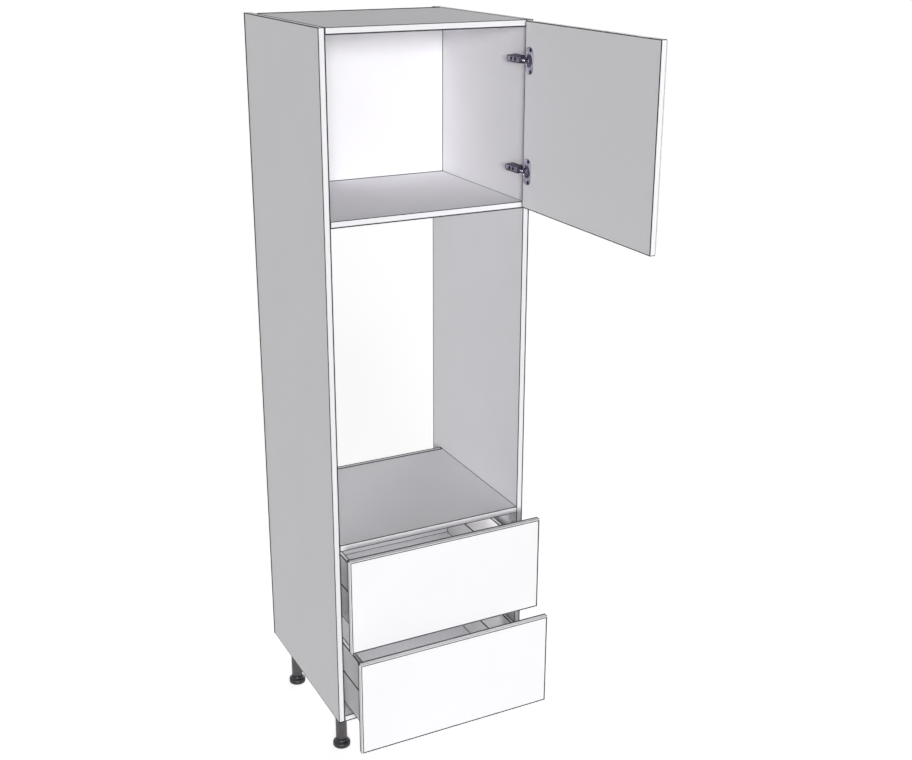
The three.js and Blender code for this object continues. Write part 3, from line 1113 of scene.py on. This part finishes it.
def add_hinge_cup():
    """A flanged pot with two guide cheeks, let into the door."""
    low, high = hinge_box("cup")
    height = hinge_height()
    middle = cup_middle()
    flange = add_block("hinge_cup", low, (low.x + FLANGE_SHEET * MM, high.y, high.z))
    bevel_edges(flange, along(0), FLANGE_ROUND * MM, segments=10)
    bore_flange(flange, FLANGE_BORE)
    soften(flange, ARRIS["flange"], sharp=60)
    depth = (high.x - low.x) / MM
    wall = [(radius, depth - short) for radius, short in POT_INSIDE]
    wall += POT_LIP
    wall += [(radius, depth - short) for radius, short in POT_OUTSIDE]
    pot = add_turned("hinge_pot", middle, ring_profile(wall))
    turn_to(pot, (1, 0, 0), middle)
    smooth(pot, sharp=40)
    cheeks = []
    for side in (-1, 1):
        inner, outer = sorted(side * span * MM for span in CHEEK_SPAN)
        cheek = add_block(
            "cheek",
            (low.x + CHEEK_COVER[0] * MM, middle.y + CHEEK_LENGTH[0] * MM, height + inner),
            (high.x - CHEEK_COVER[1] * MM, middle.y + CHEEK_LENGTH[1] * MM, height + outer),
        )
        soften(cheek, ARRIS["cheek"])
        cheeks.append(cheek)
    return join("hinge_cup", [flange, pot, *cheeks])


def link_strip(name, half_width, drop):
    """A bar from the arm's pin to the cup that turns down into a hook at its end."""
    low, high = hinge_box("link")
    height = hinge_height()
    back = LINK_BAR_BACK * MM
    strip = add_block(
        name,
        (back + drop, low.y + drop, height - half_width),
        (back + LINK_SHEET * MM, LINK_PIN[1] * MM, height + half_width),
    )
    edit()
    bpy.ops.mesh.select_mode(type="FACE")
    bpy.ops.mesh.select_all(action="SELECT")
    hook = low.y + LINK_SHEET * MM
    bpy.ops.mesh.bisect(plane_co=(0, hook, 0), plane_no=(0, 1, 0))
    select_faces(strip, lambda face: face.normal.x > 0.9 and face.center.y < hook)
    reach = high.x - LINK_COVER * MM - back - LINK_SHEET * MM
    bpy.ops.mesh.extrude_region_move(TRANSFORM_OT_translate={"value": (reach, 0, 0)})
    leave_edit()
    soften(strip, ARRIS["link"], sharp=50)
    return strip


def add_hinge_link():
    """The dark body of the link with its eye and pin."""
    body = link_strip("hinge_link_body", LINK_HALF_WIDTH * MM, LINK_DROP * MM)
    centre = (LINK_PIN[0] * MM, LINK_PIN[1] * MM, hinge_height())
    eye = add_turned("eye", centre, ring_profile(EYE_PROFILE))
    pin = add_turned("pin", centre, ring_profile(PIN_PROFILE), steps=24)
    for turned_part in (eye, pin):
        smooth(turned_part)
    return join("hinge_link_body", [body, eye, pin])


def add_cup_rivets():
    """Two bright rivet heads on the flange, on the hinge's side."""
    low, high = hinge_box("cup")
    height = hinge_height()
    rivets = []
    for side in (-1, 1):
        place = Vector((low.x, high.y - RIVET_MARGIN * MM, height + side * RIVET_SPREAD * MM))
        rivet = add_turned("rivet", place, ring_profile(RIVET_PROFILE), steps=20)
        turn_to(rivet, (-1, 0, 0), place)
        smooth(rivet)
        rivets.append(rivet)
    return join("hinge_cup_rivets", rivets)


class HOUSING_OT_hinges(Operator):
    """Two concealed hinges: plate, arm, link, cup and screws"""

    bl_idname = "housing.hinges"
    bl_label = "Hinges"

    def execute(self, context):
        height = hinge_height()
        arm_x = hinge_box("arm")[0].x + ARM_SCREW_SUNK * MM
        cup_low, cup_high = hinge_box("cup")
        cup_x = cup_low.x + CUP_SCREW_SUNK * MM
        cup_y = (cup_low.y + cup_high.y) / 2 - CUP_SCREW_OFFSET * MM
        arm_places = [(arm_x, y * MM, height) for y in ARM_SCREWS]
        cup_places = [(cup_x, cup_y, height + z * MM) for z in CUP_SCREWS]
        screw = add_screw("hinge_screw", sizes().screw_head / 2, HINGE_SCREW_RISE * MM)
        dull, bright = steel("dark_nickel_steel"), steel("bright_nickel_steel")
        grey, black = steel("nickel_plated_steel"), finish(burnished_screw)
        spring = SPRING_HALF_WIDTH * MM
        # Each model with its body, its finish and the part of the hinge it stands for
        models = (
            (add_hinge_plate(), "carcass", dull, "plate"),
            (add_hinge_arm(), "carcass", dull, "arm"),
            (set_screws("hinge_arm_screws", screw, arm_places, (-1, 0, 0)), "carcass", black, ""),
            (add_hinge_cup(), "top_door", grey, "cup"),
            (add_cup_rivets(), "top_door", bright, ""),
            (set_screws("hinge_cup_screws", screw, cup_places, (-1, 0, 0)), "top_door", black, ""),
            (add_hinge_link(), "link", dull, "link"),
            # The spring's bright nickel is a painted highlight along the link.
            (link_strip("hinge_link_spring", spring, 0), "link", bright, ""),
            (add_arm_panel(), "carcass", steel("arm_nickel_steel"), ""),
            # The rim's dark is painted shade round the flange.
            (add_flange_rim(), "top_door", dull, ""),
            # The insert is dark nickel as painted shade in the hollow of the pot.
            (add_cup_insert(), "top_door", dull, ""),
        )
        for hinge in HINGES:
            shift = (0, 0, hinge_height(hinge) - height)
            for model, body, metal, part in models:
                piece = copy_piece(model, f"{hinge}_{model.name}", shift)
                body = f"{hinge}_hinge_link_body" if body == "link" else body
                replaced = [f"{hinge}_hinge_{part}"] if part else []
                settle(piece, body, "hinge_nickel", metal, *replaced)
        discard(screw, *(model for model, *_ in models))
        return {"FINISHED"}


# Screws of the cabinet rails in millimetres: places along the rail, and depth under its top
RUNNER_SCREWS = (18, 205, 392)
RUNNER_SCREW_DROP = 14
RUNNER_SCREW_RADIUS = 4
RUNNER_SCREW_RISE = 1.8
RUNNER_SHEET = 1.4


class HOUSING_OT_runners(Operator):
    """Screws that hold the four cabinet rails to the sides"""

    bl_idname = "housing.runners"
    bl_label = "Runner screws"

    def execute(self, context):
        screw = add_screw("rail_screw", RUNNER_SCREW_RADIUS * MM, RUNNER_SCREW_RISE * MM)
        for drawer in DRAWERS:
            for side in SIDES:
                low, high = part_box(f"{drawer}_drawer_{side}_cabinet_rail")
                if side == "left":
                    flange, inward = low.x + RUNNER_SHEET * MM, (1, 0, 0)
                else:
                    flange, inward = high.x - RUNNER_SHEET * MM, (-1, 0, 0)
                height = high.z - RUNNER_SCREW_DROP * MM
                places = [(flange, low.y + y * MM, height) for y in RUNNER_SCREWS]
                screws = set_screws(f"{drawer}_drawer_{side}_rail_screws", screw, places, inward)
                settle(screws, "carcass", "runner_steel", steel("zinc_plated_steel"))
        discard(screw)
        return {"FINISHED"}


class HOUSING_OT_stage(Operator):
    """Floor, soft light and the camera"""

    bl_idname = "housing.stage"
    bl_label = "Stage"

    def execute(self, context):
        add_floor()
        add_light()
        add_camera()
        context.scene.view_settings.view_transform = "Standard"
        return {"FINISHED"}


FLOOR_SPAN = 60
FLOOR_GLOW = 0.7
SKY_LIGHT = 0.222
SOFTBOX_LIGHT = 20
SOFTBOX_SPAN = 1
SOFTBOX_PLACE = (-2.6, -5.6, 3.3)
SOFTBOX_AIM = (0, 0.1, 1.1)
# Name, place in the scene, direction, strength and width of each sun
SUNS = (
    ("front_light", (-2, -4, 3), (0.323, 0.938, -0.122), 2.2, math.radians(12)),
    ("rear_light", (3, 4, 3), (-0.75, -0.66, -0.15), 1.05, math.radians(30)),
)
# Strips in the gap over each drawer, just inside the carcass, that look to the back: name,
# place, direction and watts
COMPARTMENT_LIGHTS = (
    ("upper_compartment_fill", (0, 0.062, 0.68), (0, 1, -0.5), 0.34),
    ("lower_compartment_fill", (0, 0.062, 0.41), (0, 1, -1), 0.31),
)
COMPARTMENT_PANEL = (0.44, 0.036)
CAMERA_PLACE = (-1.4596, -2.9708, 2.3796)
CAMERA_PITCH = math.radians(-19.418)
CAMERA_YAW = math.radians(-26.501)
CAMERA_LENS = 50.771
CAMERA_SENSOR = 36
CAMERA_SHIFT = (0.0158, -0.0142)


def seen_directly(tree):
    """1 for rays that come from the camera, or from it by way of gloss or glass."""
    path = add_node(tree, "ShaderNodeLightPath")
    total = path.outputs["Is Camera Ray"]
    for kind in ("Is Glossy Ray", "Is Transmission Ray"):
        settings = {"operation": "ADD", "use_clamp": True}
        more = add_node(tree, "ShaderNodeMath", settings, i0=total, i1=path.outputs[kind])
        total = more.outputs[0]
    return total


def add_floor():
    deselect()
    bpy.ops.mesh.primitive_plane_add(size=FLOOR_SPAN, location=(0, 0, 0))
    floor = bpy.context.object
    floor.name = "studio_floor"
    material, tree, output = new_material("painted_studio_floor")
    tone = opaque(colours().floor)
    diffuse = add_node(tree, "ShaderNodeBsdfDiffuse", Color=tone)
    glow_share = add_node(
        tree,
        "ShaderNodeMath",
        {"operation": "MULTIPLY"},
        i0=seen_directly(tree),
        i1=FLOOR_GLOW,
    )
    glow = add_node(tree, "ShaderNodeEmission", Color=tone, Strength=glow_share.outputs[0])
    both = add_node(tree, "ShaderNodeAddShader", i0=diffuse.outputs[0], i1=glow.outputs[0])
    tree.links.new(both.outputs[0], output.inputs["Surface"])
    floor.data.materials.append(material)


def add_light():
    world = bpy.data.worlds.new("studio_air")
    bpy.context.scene.world = world
    world.use_nodes = True
    tree = world.node_tree
    tree.nodes.clear()
    seen = seen_directly(tree)
    power = add_node(tree, "ShaderNodeMapRange", Value=seen, To_Min=SKY_LIGHT, To_Max=1).outputs[0]
    air = add_node(tree, "ShaderNodeBackground", Color=(1, 1, 1, 1), Strength=power)
    output = tree.nodes.new("ShaderNodeOutputWorld")
    tree.links.new(air.outputs[0], output.inputs["Surface"])
    toward = Vector(SOFTBOX_AIM) - Vector(SOFTBOX_PLACE)
    softbox = add_lamp("softbox", "AREA", SOFTBOX_PLACE, toward, SOFTBOX_LIGHT)
    softbox.data.size = SOFTBOX_SPAN
    softbox.visible_camera = False
    for name, place, toward, strength, angle in SUNS:
        add_lamp(name, "SUN", place, toward, strength).data.angle = angle
    for name, place, toward, strength in COMPARTMENT_LIGHTS:
        panel = add_lamp(name, "AREA", place, toward, strength)
        panel.data.shape = "RECTANGLE"
        panel.data.size, panel.data.size_y = COMPARTMENT_PANEL
        panel.visible_camera = False


def add_lamp(name, kind, place, toward, strength):
    deselect()
    bpy.ops.object.light_add(type=kind, location=place)
    lamp = bpy.context.object
    lamp.name = name
    lamp.data.energy = strength
    lamp.rotation_euler = Vector(toward).to_track_quat("-Z", "Y").to_euler()
    return lamp


def add_camera():
    deselect()
    bpy.ops.object.camera_add(
        location=CAMERA_PLACE,
        rotation=(math.pi / 2 + CAMERA_PITCH, 0, CAMERA_YAW),
    )
    camera = bpy.context.object
    camera.name = "photo_camera"
    camera.data.sensor_width = CAMERA_SENSOR
    camera.data.lens = CAMERA_LENS
    camera.data.shift_x, camera.data.shift_y = CAMERA_SHIFT
    bpy.context.scene.camera = camera


class HOUSING_PT_panel(Panel):
    """Lists the steps that dress the unit, with their sizes and colours"""

    bl_idname = "HOUSING_PT_panel"
    bl_label = "Oven housing unit"
    bl_space_type = "VIEW_3D"
    bl_region_type = "UI"
    bl_category = "Housing"

    def draw(self, context):
        for step in STEPS:
            self.layout.operator(step.bl_idname)
        for group in (context.scene.housing_sizes, context.scene.housing_colours):
            for key in group.bl_rna.properties.keys():
                if key not in ("rna_type", "name"):
                    self.layout.prop(group, key)


STEPS = (
    HOUSING_OT_boards,
    HOUSING_OT_seams,
    HOUSING_OT_legs,
    HOUSING_OT_hinges,
    HOUSING_OT_runners,
    HOUSING_OT_stage,
)
CLASSES = (HousingSizes, HousingColours, *STEPS, HOUSING_PT_panel)


def register():
    for each in CLASSES:
        bpy.utils.register_class(each)
    bpy.types.Scene.housing_sizes = PointerProperty(type=HousingSizes)
    bpy.types.Scene.housing_colours = PointerProperty(type=HousingColours)


def unregister():
    del bpy.types.Scene.housing_colours
    del bpy.types.Scene.housing_sizes
    for each in reversed(CLASSES):
        bpy.utils.unregister_class(each)


def main():
    register()
    bpy.ops.housing.boards()
    bpy.ops.housing.seams()
    bpy.ops.housing.legs()
    bpy.ops.housing.hinges()
    bpy.ops.housing.runners()
    bpy.ops.housing.stage()


if __name__ == "__main__":
    main()
